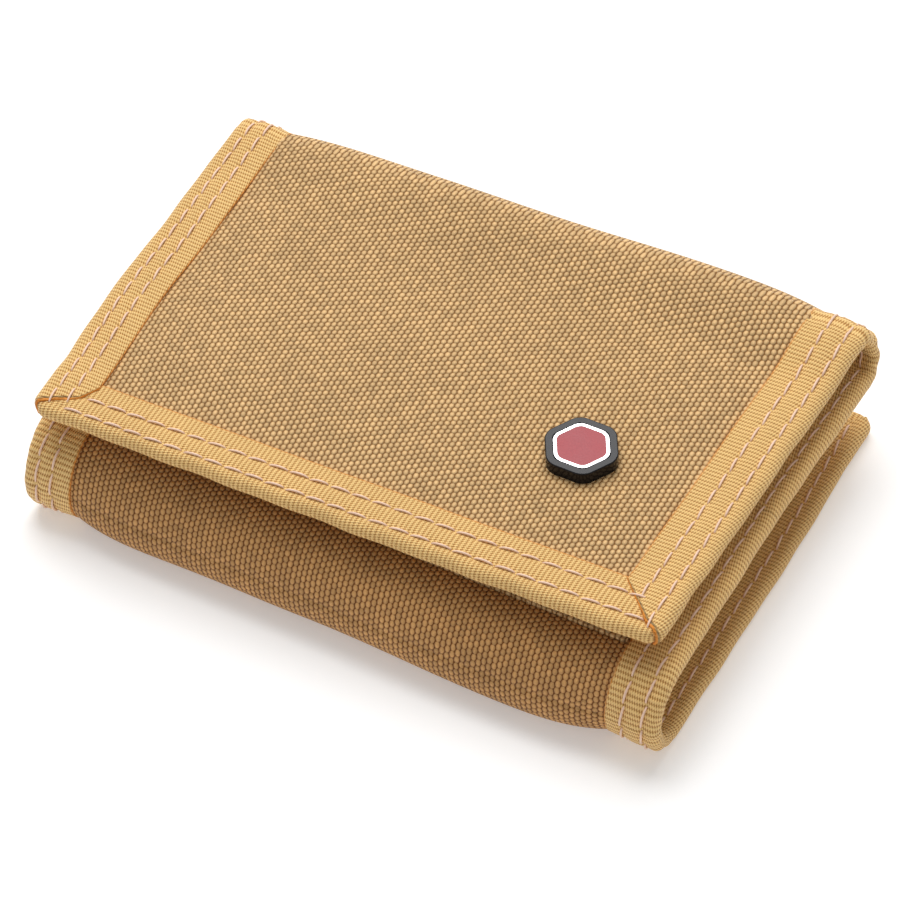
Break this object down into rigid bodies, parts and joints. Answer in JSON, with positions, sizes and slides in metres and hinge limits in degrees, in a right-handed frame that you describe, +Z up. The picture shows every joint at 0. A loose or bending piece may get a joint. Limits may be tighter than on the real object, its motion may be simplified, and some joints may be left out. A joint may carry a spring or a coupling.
{
  "type": "folding fabric wallet",
  "caption": "Fabric wallet of three bound panels folded over each other at two soft folds, with a badge, card slots, a clear window and a zipped coin pocket.",
  "frame": {"origin": "centre of the closed wallet's box, on the surface that it lies on", "axes": "+X to the right along the folds, +Y from the front fold towards the back fold, +Z up"},
  "size_m": [0.12, 0.084, 0.0264],
  "materials": {
    "nylon_fabric": "coarse plain woven nylon with a soft sheen",
    "binding_tape": "ribbed grosgrain binding tape",
    "sewing_thread": "twisted polyester thread",
    "foam_padding": "thin foam",
    "stiffener_board": "flexible plastic board",
    "pocket_lining": "thin plain woven lining",
    "black_badge": "polished black",
    "silver_badge": "bright plated",
    "red_enamel": "satin enamel",
    "backing_steel": "plain stamped steel",
    "hook_tape": "field of fine nylon hooks",
    "loop_tape": "brushed loop pile",
    "clear_film": "clear flexible vinyl",
    "zip_tape": "fine twill zip tape",
    "zip_coil": "moulded nylon coil",
    "zip_metal": "semi-gloss black lacquer"
  },
  "bodies": {
    "base_panel": {"bottom_face_fabric": "nylon_fabric", "bottom_stiffener": "stiffener_board", "bottom_lining": "nylon_fabric", "bottom_binding": "binding_tape", "bottom_stitching": "sewing_thread", "coin_pocket_bag": "pocket_lining", "coin_pocket_gusset": "nylon_fabric", "coin_pocket_front": "nylon_fabric", "coin_pocket_top_strip": "nylon_fabric", "coin_pocket_stitching": "sewing_thread", "zip_tapes": "zip_tape", "zip_coils": "zip_coil", "zip_stops": "backing_steel"},
    "front_spine": {"front_fold_face_fabric": "nylon_fabric", "front_fold_lining": "nylon_fabric", "front_fold_binding": "binding_tape", "front_fold_stitching": "sewing_thread"},
    "middle_panel": {"middle_face_fabric": "nylon_fabric", "middle_stiffener": "stiffener_board", "middle_lining": "nylon_fabric", "middle_binding": "binding_tape", "middle_stitching": "sewing_thread", "slip_pocket": "nylon_fabric", "loop_strip": "loop_tape", "loop_strip_stitching": "sewing_thread", "window_film": "clear_film", "window_frame": "binding_tape", "card_slot_1": "nylon_fabric", "card_slot_2": "nylon_fabric", "card_slot_3": "nylon_fabric", "card_slot_1_edge": "binding_tape", "card_slot_2_edge": "binding_tape", "card_slot_3_edge": "binding_tape", "card_slot_stitching": "sewing_thread"},
    "back_spine": {"back_fold_face_fabric": "nylon_fabric", "back_fold_lining": "nylon_fabric", "back_fold_binding": "binding_tape", "back_fold_stitching": "sewing_thread"},
    "cover_flap": {"cover_face_fabric": "nylon_fabric", "cover_padding": "foam_padding", "cover_lining": "nylon_fabric", "cover_binding": "binding_tape", "cover_stitching": "sewing_thread", "badge_base": "black_badge", "badge_frame": "silver_badge", "badge_enamel": "red_enamel", "badge_backing_plate": "backing_steel", "hook_strip": "hook_tape", "hook_strip_stitching": "sewing_thread"},
    "zip_slider": {"zip_slider_body": "zip_metal"},
    "zip_puller": {"zip_pull_tab": "zip_metal"}
  },
  "joints": [
    {"name": "front_fold_lower", "type": "hinge", "parent": "base_panel", "child": "front_spine", "pos_m": [0, -0.03944, 0.00256], "axis": [1, 0, 0], "range_deg": [0, 90]},
    {"name": "front_fold_upper", "type": "hinge", "parent": "front_spine", "child": "middle_panel", "pos_m": [0, -0.03944, 0.01494], "axis": [1, 0, 0], "range_deg": [0, 90]},
    {"name": "back_fold_lower", "type": "hinge", "parent": "middle_panel", "child": "back_spine", "pos_m": [0, 0.04054, 0.01596], "axis": [-1, 0, 0], "range_deg": [0, 90]},
    {"name": "back_fold_upper", "type": "hinge", "parent": "back_spine", "child": "cover_flap", "pos_m": [0, 0.04054, 0.02304], "axis": [-1, 0, 0], "range_deg": [0, 90]},
    {"name": "zip_slide", "type": "slide", "parent": "base_panel", "child": "zip_slider", "axis": [1, 0, 0], "range_m": [0, 0.08]},
    {"name": "zip_pull_swing", "type": "hinge", "parent": "zip_slider", "child": "zip_puller", "pos_m": [-0.04, 0.02, 0.00695], "axis": [0, -1, 0], "range_deg": [0, 180]}
  ],
  "couplings": [
    {"joint": "front_fold_upper", "follows": "front_fold_lower", "ratio": 1},
    {"joint": "back_fold_upper", "follows": "back_fold_lower", "ratio": 1}
  ]
}
